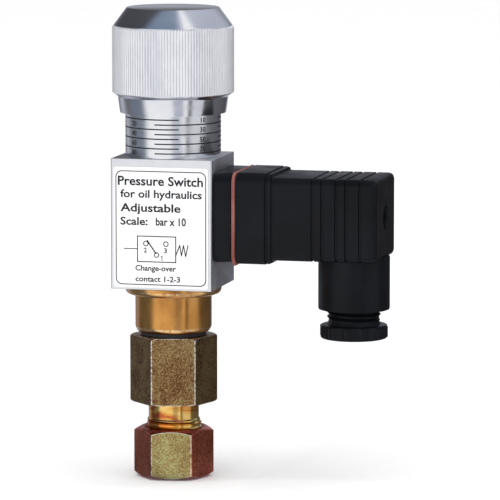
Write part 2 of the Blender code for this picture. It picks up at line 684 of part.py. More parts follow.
def cable_gland():
    """Nut, pressure washer and grommet of the empty cable entry."""
    spot = (STUB_X, 0, 0)
    flange_top = 50.1 * MM
    neck_top = 60.5 * MM
    neck = 8.5 * MM
    nut = [
        (neck, neck_top), (neck, flange_top), (10.85 * MM, flange_top),
        (10.85 * MM, GLAND_BOTTOM + 0.6 * MM), (10.2 * MM, GLAND_BOTTOM),
        (6.2 * MM, GLAND_BOTTOM), (5.2 * MM, GLAND_BOTTOM + 1 * MM), (5.2 * MM, neck_top),
    ]
    turned("gland_nut", nut, BLACK, spot)
    washer = [
        (8.3 * MM, 61.4 * MM), (8.3 * MM, neck_top + 0.1 * MM),
        (5.2 * MM, neck_top + 0.1 * MM), (5.2 * MM, 61.4 * MM),
    ]
    turned("gland_washer", washer, STEEL, spot, steps=32)
    grommet = [
        (7.4 * MM, 69.5 * MM), (8.3 * MM, 68.0 * MM), (8.3 * MM, 61.5 * MM),
        (3.6 * MM, 61.5 * MM), (3.6 * MM, 69.5 * MM),
    ]
    turned("gland_grommet", grommet, BLACK_RUBBER, spot, steps=32)


switch_housing()
rating_plate()
scale_barrel()
adjusting_knob()
adjusting_spindle()
spring_seat()
main_spring()
lower_spring_plate()
piston()
piston_housing()
tube_adapter()
union_nut()
microswitch()
lead_wires()
connector_base()
plug_gasket()
plug_housing()
contact_carrier()
plug_screw()
cable_gland()
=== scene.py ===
import math

import bmesh
import bpy
from mathutils import Matrix, Vector


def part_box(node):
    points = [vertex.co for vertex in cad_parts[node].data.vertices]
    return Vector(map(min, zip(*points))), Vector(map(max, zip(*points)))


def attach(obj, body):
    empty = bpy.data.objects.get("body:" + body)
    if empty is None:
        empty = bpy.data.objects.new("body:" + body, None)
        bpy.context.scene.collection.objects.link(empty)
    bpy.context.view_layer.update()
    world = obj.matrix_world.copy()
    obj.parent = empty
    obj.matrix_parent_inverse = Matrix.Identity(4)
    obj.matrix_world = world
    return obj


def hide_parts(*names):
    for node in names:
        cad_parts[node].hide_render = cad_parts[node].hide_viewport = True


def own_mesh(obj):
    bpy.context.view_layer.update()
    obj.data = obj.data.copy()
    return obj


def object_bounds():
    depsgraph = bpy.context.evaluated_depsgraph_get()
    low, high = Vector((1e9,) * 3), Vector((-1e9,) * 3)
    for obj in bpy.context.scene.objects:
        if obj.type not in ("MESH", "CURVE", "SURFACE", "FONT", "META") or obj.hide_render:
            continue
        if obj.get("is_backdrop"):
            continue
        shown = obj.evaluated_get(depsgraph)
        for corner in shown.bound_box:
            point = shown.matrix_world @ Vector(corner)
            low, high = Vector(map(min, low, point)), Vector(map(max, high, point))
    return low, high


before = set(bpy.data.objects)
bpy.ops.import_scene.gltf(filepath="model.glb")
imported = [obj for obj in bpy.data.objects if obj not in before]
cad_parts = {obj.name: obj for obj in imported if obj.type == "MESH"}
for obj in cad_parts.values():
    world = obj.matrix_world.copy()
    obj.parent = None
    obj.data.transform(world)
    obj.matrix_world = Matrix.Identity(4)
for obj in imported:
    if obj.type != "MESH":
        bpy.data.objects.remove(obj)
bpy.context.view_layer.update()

# Every size below is in millimetres from the main axis, and MM turns it into metres.
MM = 0.001
barrel_low, barrel_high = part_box("scale_barrel")
AXIS = Vector(((barrel_low.x + barrel_high.x) / 2, 0.0, 0.0))


# ---- Square housing --------------------------------------------------------------
# A sawn and milled block of aluminium bar with a clear satin anodised skin.  The
# bore for the spring runs through it from top to bottom, and a pocket opens to the
# right for the microswitch.  Its outer edges are lightly broken with a file.

def put(tree, kind, inputs=None, **settings):
    """Add a node to a tree; an input is a value, the output or the node that feeds it."""
    node = tree.nodes.new(kind)
    for key, value in settings.items():
        setattr(node, key, value)
    for key, value in (inputs or {}).items():
        if isinstance(value, bpy.types.Node):
            value = value.outputs[0]
        if isinstance(value, bpy.types.NodeSocket):
            tree.links.new(value, node.inputs[key])
        else:
            node.inputs[key].default_value = value
    return node


def new_finish(name, colour, roughness, metallic=0.0, **sockets):
    """A Principled finish whose even values sit on the shader's own sockets."""
    finish = bpy.data.materials.new(name)
    finish.use_nodes = True
    shader = finish.node_tree.nodes["Principled BSDF"]
    shader.inputs["Base Color"].default_value = (*colour, 1.0)
    shader.inputs["Roughness"].default_value = roughness
    shader.inputs["Metallic"].default_value = metallic
    for label, value in sockets.items():
        shader.inputs[label.replace("_", " ")].default_value = value
    return finish


def skin(finish, label):
    """One of the inputs of a finish's shader, by its label."""
    return finish.node_tree.nodes["Principled BSDF"].inputs[label]


def grain(finish, scale, stretch=(1, 1, 1), detail=4.0, warp=0.0):
    """Noise in the piece's own metres, pulled out along the axes with a small stretch."""
    tree = finish.node_tree
    place = put(tree, "ShaderNodeTexCoord").outputs["Object"]
    pull = put(tree, "ShaderNodeMapping", {"Vector": place, "Scale": stretch})
    noise = put(tree, "ShaderNodeTexNoise", {
        "Vector": pull.outputs["Vector"], "Scale": scale, "Detail": detail, "Distortion": warp,
    })
    return noise.outputs["Fac"]


def ramp(tree, source, stops):
    """Colours along a source, each stop a position and a colour."""
    node = put(tree, "ShaderNodeValToRGB", {"Fac": source})
    while len(node.color_ramp.elements) < len(stops):
        node.color_ramp.elements.new(0.5)
    for element, (position, colour) in zip(node.color_ramp.elements, stops):
        element.position = position
        element.color = (*colour, 1.0)
    return node.outputs["Color"]


def shades(finish, pattern, *stops):
    """Colours of the surface along a grain, or along a source that is ready made."""
    tree = finish.node_tree
    source = grain(finish, *pattern) if isinstance(pattern, tuple) else pattern
    tree.links.new(ramp(tree, source, stops), skin(finish, "Base Color"))


def gloss(finish, low, high, *pattern, **more):
    """Roughness between two values, following a grain."""
    tree = finish.node_tree
    span = put(tree, "ShaderNodeMapRange", {
        "Value": grain(finish, *pattern, **more), "From Min": 0.3, "From Max": 0.7,
        "To Min": low, "To Max": high,
    })
    tree.links.new(span.outputs["Result"], skin(finish, "Roughness"))


def relief(finish, depth, strength, *pattern, **more):
    """Fine relief, in millimetres, laid over any relief that the finish already has."""
    tree, normal = finish.node_tree, skin(finish, "Normal")
    feeds = {
        "Height": grain(finish, *pattern, **more), "Strength": strength,
        "Distance": depth * MM,
    }
    if normal.is_linked:
        feeds["Normal"] = normal.links[0].from_socket
    tree.links.new(put(tree, "ShaderNodeBump", feeds).outputs["Normal"], normal)


def held(name, data):
    """An object that holds the data, linked to the scene."""
    holder = bpy.data.objects.new(name, data)
    bpy.context.scene.collection.objects.link(holder)
    return holder


def frozen(holder):
    """The plain mesh of an object after its modifiers; the object is used up."""
    graph = bpy.context.evaluated_depsgraph_get()
    mesh = bpy.data.meshes.new_from_object(holder.evaluated_get(graph))
    bpy.data.objects.remove(holder)
    return mesh


def as_mesh(name, shape):
    """A mesh of a shape under construction; the shape is used up."""
    mesh = bpy.data.meshes.new(name)
    shape.to_mesh(mesh)
    shape.free()
    return mesh


def set_down(name, mesh, finish, body, replaced=(), crease=32.0):
    """Link a finished mesh as a piece: smooth, creased by angle, riding on its body."""
    piece = held(name, mesh)
    mesh.materials.clear()
    mesh.materials.append(finish)
    mesh.polygons.foreach_set("use_smooth", [True] * len(mesh.polygons))
    mesh.set_sharp_from_angle(angle=math.radians(crease))
    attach(piece, body)
    if replaced:
        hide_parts(*replaced)
    return piece


def merged_copy(node):
    """A node's mesh with its loose triangles joined and its flat faces made whole."""
    shape = bmesh.new()
    shape.from_mesh(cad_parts[node].data)
    bmesh.ops.remove_doubles(shape, verts=shape.verts, dist=0.002 * MM)
    bmesh.ops.dissolve_limit(
        shape, angle_limit=math.radians(1), verts=shape.verts, edges=shape.edges
    )
    return as_mesh(node + "_copy", shape)


def baked(mesh, *modifiers):
    """The mesh after its modifiers, each a type and its settings."""
    holder = held("holder", mesh)
    for kind, settings in modifiers:
        modifier = holder.modifiers.new(kind.lower(), kind)
        for key, value in settings.items():
            setattr(modifier, key, value)
    return frozen(holder)


def edges_broken(node, width, segments, angle):
    """A node's mesh with the edges sharper than an angle broken to a width."""
    return baked(merged_copy(node), ("BEVEL", {
        "width": width * MM, "segments": segments, "limit_method": "ANGLE",
        "angle_limit": math.radians(angle),
    }))


satin_aluminium = new_finish("satin_aluminium", (0.80, 0.81, 0.83), 0.36, 1.0)
shades(
    satin_aluminium, (70.0,),
    (0.3, (0.77, 0.78, 0.80)), (0.7, (0.84, 0.85, 0.87)),
)
gloss(satin_aluminium, 0.32, 0.46, 260.0, (1.0, 1.0, 0.02))
relief(satin_aluminium, 0.02, 0.5, 2600.0, (1.0, 1.0, 0.05))
relief(satin_aluminium, 0.01, 0.4, 5000.0)

housing_mesh = edges_broken("switch_housing", 0.28, 2, 50)
set_down(
    "square_housing", housing_mesh, satin_aluminium, "housing",
    ["switch_housing"],
)


# ---- Brass pressure end -----------------------------------------------------------
# The body below the block is turned from bright brass bar: a flange drawn up against
# the block, a plain barrel with a rounded foot, and a threaded spigot hidden above.
# The piston runs in it.  It is left unplated and has a fine turned finish.

def sums(tree, kind, first, second):
    """The result of one sum on two values or outputs."""
    return put(tree, "ShaderNodeMath", {0: first, 1: second}, operation=kind).outputs[0]


def tinged(finish, share, colour, kind="MIX"):
    """Lay a colour over the finish's own colour, as far as the share says."""
    tree, base = finish.node_tree, skin(finish, "Base Color")
    blend = put(tree, "ShaderNodeMix", {
        0: share, 6: base.links[0].from_socket, 7: (*colour, 1.0),
    }, data_type="RGBA", blend_type=kind)
    tree.links.new(blend.outputs[2], base)


def worn(finish, colour, share):
    """A brighter colour on the edges, broken up by fine noise."""
    tree = finish.node_tree
    edge = put(tree, "ShaderNodeAttribute", attribute_name="edge")
    broken = put(tree, "ShaderNodeMapRange", {
        "Value": grain(finish, 900.0), "From Min": 0.35, "From Max": 0.55, "To Max": share,
    })
    patch = sums(tree, "MULTIPLY", edge.outputs["Fac"], broken.outputs["Result"])
    tinged(finish, patch, colour)


def eased(outline, ease):
    """Break every corner of an outline; the third value marks where it will wear."""
    points = []
    last = len(outline) - 1
    closed = outline[0][0] > 0
    for number, corner in enumerate(outline):
        here = Vector(corner[:2])
        before = Vector(outline[number - 1][:2])
        after = Vector(outline[(number + 1) % len(outline)][:2])
        if not closed and number in (0, last):
            points.append((here.x, here.y, 0.0))
            continue
        room = min((here - before).length, (after - here).length) / 2.2
        cut = min(corner[2] if len(corner) > 2 else ease, room)
        start = here + (before - here).normalized() * cut
        end = here + (after - here).normalized() * cut
        middle = (start + end + here * 2) / 4
        points += [(start.x, start.y, 0.0), (middle.x, middle.y, 1.0), (end.x, end.y, 0.0)]
    return points


def spun(name, rows, angles, spot=(0, 0), along="Z"):
    """A closed skin through one outline for each angle, in millimetres from an axis."""
    count, turns = len(rows[0]), len(angles)
    spots, edge, first = [], [], []
    for step in range(count):
        first.append(len(spots))
        pole = all(row[step][0] < 1e-6 for row in rows)
        for row, angle in zip(rows[:1] if pole else rows, angles):
            radius, height, wear = row[step]
            across, up = radius * math.cos(angle), radius * math.sin(angle)
            point = (across + spot[0], up + spot[1], height)
            if along == "X":
                point = (height, across + spot[0], up + spot[1])
            spots.append(AXIS + Vector(point) * MM)
            edge.append(wear)
    single = [
        (first[step + 1] if step + 1 < count else len(spots)) - first[step] == 1
        for step in range(count)
    ]
    faces = []
    for step in range(count if not single[0] else count - 1):
        other = (step + 1) % count
        for turn in range(turns):
            ahead = (turn + 1) % turns
            one, two = first[step], first[other]
            if single[step] and single[other]:
                continue
            if single[step]:
                faces.append((one, two + turn, two + ahead))
            elif single[other]:
                faces.append((one + turn, two, one + ahead))
            else:
                faces.append((one + turn, two + turn, two + ahead, one + ahead))
    mesh = bpy.data.meshes.new(name)
    mesh.from_pydata(spots, [], faces)
    shape = bmesh.new()
    shape.from_mesh(mesh)
    bmesh.ops.recalc_face_normals(shape, faces=shape.faces)
    shape.to_mesh(mesh)
    shape.free()
    mesh.attributes.new("edge", "FLOAT", "POINT").data.foreach_set("value", edge)
    return mesh


def lathe(name, outline, ease=0.12, steps=128, spot=(0, 0), along="Z"):
    """A turned shape with every corner of its outline lightly broken."""
    angles = [2 * math.pi * turn / steps for turn in range(steps)]
    return spun(name, [eased(outline, ease)] * steps, angles, spot, along)


bright_brass = new_finish("bright_brass", (0.68, 0.34, 0.10), 0.24, 1.0)
shades(
    bright_brass, (55.0, (1.0, 1.0, 0.6), 5.0, 0.6),
    (0.32, (0.30, 0.12, 0.035)), (0.48, (0.62, 0.29, 0.075)), (0.70, (0.82, 0.45, 0.15)),
)
gloss(bright_brass, 0.16, 0.34, 120.0)
relief(bright_brass, 0.012, 0.6, 1800.0, (0.02, 0.02, 1.0))
worn(bright_brass, (1.0, 0.78, 0.45), 0.8)
pressure_end = [
    (9.0, 69.0), (9.0, 60.75), (15.2, 60.75), (15.2, 59.4, 0.8), (14.7, 58.4, 0.8),
    (13.7, 58.0), (12.05, 58.0, 0.4), (12.05, 47.4, 0.8), (11.2, 46.2, 0.3), (6.7, 46.2),
    (6.7, 56.2), (2.56, 56.2), (2.56, 60.0), (4.2, 60.0), (4.2, 62.2), (2.56, 62.2),
    (2.56, 66.5), (5.4, 66.5), (5.4, 69.0),
]
set_down(
    "brass_pressure_end", lathe("brass_pressure_end", pressure_end), bright_brass,
    "housing", ["piston_housing"],
)
black_rubber = new_finish("black_rubber", (0.025, 0.025, 0.027), 0.62)
gloss(black_rubber, 0.55, 0.75, 400.0)
relief(black_rubber, 0.02, 0.4, 3000.0)


def dress(finish, *nodes):
    """Give carried-over nodes their finish."""
    for node in nodes:
        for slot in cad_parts[node].material_slots:
            slot.material = finish


def numbered(stem, count):
    """The names of nodes that are counted from one."""
    return [f"{stem}_{number}" for number in range(1, count + 1)]


dress(black_rubber, "piston_seal", "port_seal", "plug_screw_seal")


# ---- Piston, spring and spring plates ----------------------------------------------
# Ground steel piston, a lower plate with the arm that works the microswitch, a
# five-turn spring of oiled steel wire, and an upper plate with its thrust ball.
# They are hidden in the block, and only a sectioned view shows them.

oiled_steel = new_finish("oiled_steel", (0.50, 0.51, 0.53), 0.30, 1.0)
shades(
    oiled_steel, (160.0,),
    (0.35, (0.34, 0.34, 0.36)), (0.65, (0.60, 0.61, 0.63)),
)
gloss(oiled_steel, 0.22, 0.42, 300.0)
relief(oiled_steel, 0.01, 0.5, 2500.0, (0.1, 0.1, 1.0))
worn(oiled_steel, (0.85, 0.85, 0.86), 0.6)
dress(
    oiled_steel, "piston", "lower_spring_plate", "upper_spring_plate", "thrust_ball",
    "adjusting_spindle", "knob_set_screw", "cutting_ring", "switch_lever", "gland_washer",
    *numbered("switch_screw", 2), *numbered("base_screw", 4), *numbered("clamp_screw", 4),
)
coil = set_down(
    "spring_coil", merged_copy("main_spring"), oiled_steel, "housing",
    ["main_spring"], 60.0,
)
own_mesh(coil)


# ---- Scale barrel -----------------------------------------------------------------
# A turned aluminium sleeve screwed into the block.  Its scale is engraved and filled
# with black: two sets of rings, each three millimetres apart, with figures in tens.
# Each ring is broken where its own set's figures stand.

turned_aluminium = new_finish("turned_aluminium", (0.84, 0.85, 0.87), 0.22, 1.0)
shades(
    turned_aluminium, (90.0, (0.3, 0.3, 1.0)),
    (0.3, (0.78, 0.79, 0.82)), (0.7, (0.88, 0.89, 0.91)),
)
gloss(turned_aluminium, 0.17, 0.30, 240.0, (0.05, 0.05, 1.0))
relief(turned_aluminium, 0.008, 0.6, 2200.0, (0.01, 0.01, 1.0))
worn(turned_aluminium, (0.95, 0.95, 0.96), 0.9)
BARREL = 15.0
barrel_outline = [
    (BARREL, 125.0), (BARREL, 101.85), (12.0, 101.85), (12.0, 95.5), (9.6, 95.5),
    (9.6, 119.0), (6.1, 119.0), (6.1, 125.0),
]
set_down(
    "scale_barrel_sleeve", lathe("scale_barrel_sleeve", barrel_outline), turned_aluminium,
    "housing", ["scale_barrel"],
)


def new_tree(name, **sizes):
    """A Geometry Nodes tree with a named input for each size, and its input node."""
    tree = bpy.data.node_groups.new(name, "GeometryNodeTree")
    tree.interface.new_socket("Geometry", in_out="OUTPUT", socket_type="NodeSocketGeometry")
    kinds = {int: "NodeSocketInt", float: "NodeSocketFloat", str: "NodeSocketMaterial"}
    for label, value in sizes.items():
        socket = tree.interface.new_socket(
            label.replace("_", " "), in_out="INPUT", socket_type=kinds[type(value)]
        )
        if not isinstance(value, str):
            socket.default_value = value
    return tree, tree.nodes.new("NodeGroupInput").outputs


def close_tree(tree, geometry, finish):
    """Realize what the tree has made, give it its finish and send it out."""
    real = put(tree, "GeometryNodeRealizeInstances", {"Geometry": geometry})
    painted = put(
        tree, "GeometryNodeSetMaterial", {"Geometry": real, "Material": finish}
    )
    end = tree.nodes.new("NodeGroupOutput")
    tree.links.new(painted.outputs[0], end.inputs[0])


def grown(name, tree, **sizes):
    """The plain mesh that a tree makes with these sizes, in metres or counts."""
    piece = held(name, bpy.data.meshes.new(name))
    modifier = piece.modifiers.new("maker", "NODES")
    modifier.node_group = tree
    for socket in tree.interface.items_tree:
        key = socket.name.replace(" ", "_")
        if socket.in_out == "INPUT" and key in sizes:
            modifier[socket.identifier] = sizes[key]
    return frozen(piece)


def ring_tree():
    """Flat black rings, or parts of one, stacked up a cylinder a step apart."""
    tree, size = new_tree(
        "scale_rings", Count=4, Step=0.003, Lowest=0.1, Radius=0.015, Start=0.0,
        Sweep=5.0, Line_Width=0.0003, Line_Depth=0.0001, Finish="",
    )
    arc = put(tree, "GeometryNodeCurveArc", {
        "Resolution": 96, "Radius": size["Radius"], "Start Angle": size["Start"],
        "Sweep Angle": size["Sweep"],
    })
    upright = put(tree, "GeometryNodeSetCurveNormal", {"Curve": arc}, mode="Z_UP")
    line = put(tree, "GeometryNodeCurvePrimitiveQuadrilateral", {
        "Width": size["Line Depth"], "Height": size["Line Width"],
    })
    swept = put(tree, "GeometryNodeCurveToMesh", {
        "Curve": upright, "Profile Curve": line, "Fill Caps": True,
    })
    foot = put(tree, "ShaderNodeCombineXYZ", {"X": AXIS.x, "Z": size["Lowest"]})
    step = put(tree, "ShaderNodeCombineXYZ", {"Z": size["Step"]})
    stack = put(tree, "GeometryNodeMeshLine", {
        "Count": size["Count"], "Start Location": foot, "Offset": step,
    })
    rings = put(tree, "GeometryNodeInstanceOnPoints", {
        "Points": stack, "Instance": swept,
    })
    close_tree(tree, rings, size["Finish"])
    return tree


black_ink = new_finish("black_ink", (0.012, 0.013, 0.016), 0.55, Specular_IOR_Level=0.15)
gloss(black_ink, 0.45, 0.70, 1500.0)
shades(
    black_ink, (2200.0,),
    (0.35, (0.010, 0.011, 0.014)), (0.7, (0.035, 0.036, 0.040)),
)
scale_rings = ring_tree()
LEFT_FIGURES = math.radians(-129.3)
RIGHT_FIGURES = math.radians(-37.5)
GAP = math.radians(31.2)
ROUND = 2 * math.pi - 2 * GAP
RING_DEPTH = 0.10 * MM
ring_sets = (
    ("scale_rings_even", 105.05, RIGHT_FIGURES + GAP, ROUND),
    ("scale_rings_odd", 103.5, LEFT_FIGURES + GAP, ROUND),
)
for ring_name, lowest, start, sweep in ring_sets:
    ring_mesh = grown(
        ring_name, scale_rings, Count=4, Step=3.0 * MM, Lowest=lowest * MM,
        Radius=BARREL * MM - RING_DEPTH / 2 + 0.012 * MM, Start=start, Sweep=sweep,
        Line_Width=0.40 * MM, Line_Depth=RING_DEPTH, Finish=black_ink,
    )
    set_down(ring_name, ring_mesh, black_ink, "housing")

FIGURE_FACE = BARREL * MM + 0.015 * MM
INK = 0.008 * MM


def figures(name, words, size, width=1.0, level="CENTER", weight=0.0):
    """A flat mesh of some lettering, centred, in the XY plane."""
    text = bpy.data.curves.new(name, "FONT")
    text.body = words
    text.size = size
    text.align_x = "CENTER"
    text.align_y = level
    text.offset = weight
    text.space_character = width
    text.resolution_u = 3
    text.extrude = INK
    return frozen(held(name, text))


def joined(name, meshes):
    """One mesh out of several."""
    shape = bmesh.new()
    for mesh in meshes:
        shape.from_mesh(mesh)
        bpy.data.meshes.remove(mesh)
    return as_mesh(name, shape)


def wrapped(mesh, angle, height):
    """Bend flat lettering round the barrel at an angle and a height."""
    for vertex in mesh.vertices:
        turn = angle + vertex.co.x / (BARREL * MM)
        reach = FIGURE_FACE + vertex.co.z
        vertex.co = AXIS + Vector((
            reach * math.cos(turn), reach * math.sin(turn), height + vertex.co.y,
        ))
    return mesh


FIGURE_SIZE = 2.15 * MM
figure_meshes = []
for step in range(4):
    for tens, angle, lowest in ((7, RIGHT_FIGURES, 104.75), (8, LEFT_FIGURES, 103.45)):
        words = str((tens - 2 * step) * 10)
        mesh = figures("figure", words, FIGURE_SIZE, 1.1, "CENTER", 0.05 * MM)
        figure_meshes.append(wrapped(mesh, angle, (lowest + 3.0 * step) * MM))
set_down(
    "scale_figures", joined("scale_figures", figure_meshes), black_ink, "housing",
)


# ---- Adjusting spindle and knob ---------------------------------------------------
# A steel spindle carries a cup turned from aluminium bar.  The cup has a deep
# chamfer, a straight knurl rolled into its waist, and a polished skirt that slides
# down over the scale barrel.  A grub screw in the knob's back locks it on.

knob_aluminium = new_finish("knob_aluminium", (0.80, 0.81, 0.84), 0.16, 1.0)
shades(
    knob_aluminium, (60.0, (1.0, 1.0, 2.0)),
    (0.3, (0.74, 0.75, 0.79)), (0.7, (0.86, 0.87, 0.90)),
)
gloss(knob_aluminium, 0.10, 0.22, 200.0, (0.05, 0.05, 1.0))
relief(knob_aluminium, 0.006, 0.5, 1500.0, (0.01, 0.01, 1.0))
worn(knob_aluminium, (0.97, 0.97, 0.98), 0.9)
KNOB = 19.1
KNOB_TOP, TOP_EDGE = 148.2, 14.5
KNURL_TOP, KNURL_FOOT = 142.0, 121.7
SKIRT_TOP, SKIRT = 120.4, 17.35
KNURL_DEPTH = 0.46
CORE = KNOB - KNURL_DEPTH
TOP_SLOPE = (KNOB_TOP - KNURL_TOP) / (KNOB - TOP_EDGE)
FOOT_SLOPE = (KNURL_FOOT - SKIRT_TOP) / (KNOB - SKIRT)
knob_outline = [
    (0.0, KNOB_TOP), (TOP_EDGE, KNOB_TOP), (CORE, KNURL_TOP + KNURL_DEPTH * TOP_SLOPE),
    (CORE, KNURL_FOOT - KNURL_DEPTH * FOOT_SLOPE), (SKIRT, SKIRT_TOP), (16.65, 115.3),
    (15.35, 115.3), (15.35, 137.5), (6.0, 137.5), (6.0, 143.55), (0.0, 143.55),
]
knob_mesh = lathe("knob_cup", knob_outline, 0.15, 160)


def combined(mesh, operation, *tools):
    """The mesh with tools taken out of it or joined to it; the tools are used up."""
    holders = [held("tool", tool) for tool in tools]
    result = baked(mesh, *(
        ("BOOLEAN", {"object": holder, "operation": operation, "solver": "EXACT"})
        for holder in holders
    ))
    for holder in holders:
        bpy.data.objects.remove(holder)
    return result


def turned_to_y(mesh, height):
    """Lay a mesh that stands on the main axis along +Y at a height."""
    laid = Matrix.Rotation(-math.pi / 2, 4, "X") @ Matrix.Translation(-AXIS)
    mesh.transform(Matrix.Translation(AXIS + Vector((0, 0, height))) @ laid)
    return mesh


tap_outline = [(0.0, 21.0), (1.75, 21.0), (1.75, 5.0), (0.0, 5.0)]
screw_tap = turned_to_y(lathe("screw_tap", tap_outline, 0.01, 24), 140.4 * MM)
knob_mesh = combined(knob_mesh, "DIFFERENCE", screw_tap)
set_down("knob_cup", knob_mesh, knob_aluminium, "knob", ["adjusting_knob"])


def rib_tree():
    """Upright ribs round a cylinder, each run out to nothing at both ends."""
    tree, size = new_tree(
        "ring_of_ribs", Ribs=128, Rib_Sides=4, Core_Radius=0.0186, Rib_Depth=0.0005,
        Bottom=0.12, Lower_Run_Out=0.0004, Top=0.14, Upper_Run_Out=0.0006, Axis_X=0.0,
        Finish="",
    )
    line = put(tree, "GeometryNodeCurvePrimitiveLine")
    parts = put(tree, "GeometryNodeSubdivideCurve", {"Curve": line, "Cuts": 2})
    place = put(tree, "GeometryNodeInputIndex").outputs[0]
    heights = put(tree, "GeometryNodeIndexSwitch", data_type="FLOAT")
    swell = put(tree, "GeometryNodeIndexSwitch", data_type="FLOAT")
    for switch in (heights, swell):
        while len(switch.index_switch_items) < 4:
            switch.index_switch_items.new()
        tree.links.new(place, switch.inputs["Index"])
    levels = (
        sums(tree, "SUBTRACT", size["Bottom"], size["Lower Run Out"]),
        size["Bottom"], size["Top"],
        sums(tree, "ADD", size["Top"], size["Upper Run Out"]),
    )
    for number, level in enumerate(levels):
        tree.links.new(level, heights.inputs[number + 1])
        swell.inputs[number + 1].default_value = (0.02, 1.0, 1.0, 0.02)[number]
    spot = put(tree, "ShaderNodeCombineXYZ", {"Z": heights})
    spread = put(tree, "GeometryNodeSetPosition", {
        "Geometry": parts, "Position": spot,
    })
    swollen = put(tree, "GeometryNodeSetCurveRadius", {
        "Curve": spread, "Radius": swell,
    })
    section = put(tree, "GeometryNodeCurvePrimitiveCircle", {
        "Resolution": size["Rib Sides"], "Radius": size["Rib Depth"],
    })
    feed = {
        "Curve": swollen, "Profile Curve": section, "Fill Caps": True,
    }
    rib = put(tree, "GeometryNodeCurveToMesh", feed)
    if "Scale" in rib.inputs:
        tree.links.new(swell.outputs[0], rib.inputs["Scale"])
    ring = put(tree, "GeometryNodeMeshCircle", {
        "Vertices": size["Ribs"], "Radius": size["Core Radius"],
    })
    part = sums(tree, "DIVIDE", 2 * math.pi, size["Ribs"])
    angle = sums(tree, "MULTIPLY", put(tree, "GeometryNodeInputIndex").outputs[0], part)
    turn = put(tree, "ShaderNodeCombineXYZ", {"Z": angle})
    ribs = put(tree, "GeometryNodeInstanceOnPoints", {
        "Points": ring, "Instance": rib, "Rotation": turn,
    })
    shift = put(tree, "ShaderNodeCombineXYZ", {"X": size["Axis X"]})
    moved = put(tree, "GeometryNodeTranslateInstances", {
        "Instances": ribs, "Translation": shift, "Local Space": False,
    })
    close_tree(tree, moved, size["Finish"])
    return tree


ring_of_ribs = rib_tree()
knurled_aluminium = new_finish("knurled_aluminium", (0.90, 0.90, 0.93), 0.38, 0.68)
shades(
    knurled_aluminium, (500.0, (1.0, 1.0, 0.3)),
    (0.3, (0.84, 0.84, 0.87)), (0.7, (0.93, 0.93, 0.95)),
)
gloss(knurled_aluminium, 0.30, 0.46, 700.0)
relief(knurled_aluminium, 0.02, 0.5, 3000.0)
knurl = grown(
    "knob_knurl", ring_of_ribs, Ribs=128, Rib_Sides=8, Core_Radius=CORE * MM,
    Rib_Depth=KNURL_DEPTH * MM, Bottom=KNURL_FOOT * MM, Lower_Run_Out=KNURL_DEPTH * FOOT_SLOPE * MM,
    Top=KNURL_TOP * MM, Upper_Run_Out=KNURL_DEPTH * TOP_SLOPE * MM, Axis_X=AXIS.x,
    Finish=knurled_aluminium,
)
set_down("knob_knurl", knurl, knurled_aluminium, "knob")


# ---- Rating plate -----------------------------------------------------------------
# A white printed film stuck on the front of the block.  A thin rounded frame holds
# plain wording, and under it the symbol of a change-over contact with its spring.

label_film = new_finish("label_film", (0.86, 0.87, 0.88), 0.42, 0.0, Coat_Weight=0.15)
shades(
    label_film, (40.0,), (0.3, (0.82, 0.83, 0.85)), (0.7, (0.90, 0.90, 0.91)),
)
gloss(label_film, 0.36, 0.50, 200.0)
relief(label_film, 0.01, 0.3, 1400.0)
film = edges_broken("rating_plate", 0.05, 1, 50)
set_down("label_film_sheet", film, label_film, "housing", ["rating_plate"])
film_low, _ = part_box("rating_plate")
PRINT_FACE = film_low.y - 0.012 * MM


def written(words, capital, left, right, base):
    """Lettering on the plate between two ends, by its capital height and base line."""
    mesh = figures("print", words, capital * MM / 0.7, 1.0, "TOP_BASELINE", 0.034 * capital * MM)
    low = min(vertex.co.x for vertex in mesh.vertices)
    high = max(vertex.co.x for vertex in mesh.vertices)
    stretch = (right - left) * MM / (high - low)
    fit = Matrix.Diagonal((stretch, 1, 1, 1)) @ Matrix.Translation((-low, 0, 0))
    stand = Matrix.Rotation(math.pi / 2, 4, "X")
    spot = Vector((AXIS.x + left * MM, PRINT_FACE, base * MM))
    mesh.transform(Matrix.Translation(spot) @ stand @ fit)
    return mesh


def stroke(points, thick=0.28, closed=False):
    """A printed line of even thickness through points on the plate."""
    shape = bmesh.new()
    runs = list(zip(points, points[1:] + points[:1] if closed else points[1:]))
    for start, end in runs:
        start, end = Vector(start), Vector(end)
        along = (end - start).normalized() * thick / 2
        side = Vector((-along.y, along.x))
        corners = (
            start - along + side, start - along - side,
            end + along - side, end + along + side,
        )
        front, back = (
            [
                shape.verts.new((AXIS.x + spot.x * MM, PRINT_FACE + depth, spot.y * MM))
                for spot in corners
            ]
            for depth in (-INK, INK)
        )
        shape.faces.new(front)
        shape.faces.new(back[::-1])
        for one in range(4):
            two = (one + 1) % 4
            shape.faces.new((front[two], front[one], back[one], back[two]))
    bmesh.ops.recalc_face_normals(shape, faces=shape.faces)
    return as_mesh("stroke", shape)


def round_frame(left, right, low, high, corner, steps=8):
    """Corner points of a rounded rectangle, counterclockwise."""
    points = []
    for centre_x, centre_z, start in (
        (right - corner, high - corner, 0), (left + corner, high - corner, 90),
        (left + corner, low + corner, 180), (right - corner, low + corner, 270),
    ):
        for step in range(steps + 1):
            angle = math.radians(start + 90 * step / steps)
            x, z = centre_x + corner * math.cos(angle), centre_z + corner * math.sin(angle)
            points.append((x, z))
    return points


def small_circle(x, z, radius=0.72, steps=16):
    """Points round a contact of the symbol."""
    angles = [2 * math.pi * step / steps for step in range(steps)]
    return [(x + radius * math.cos(angle), z + radius * math.sin(angle)) for angle in angles]


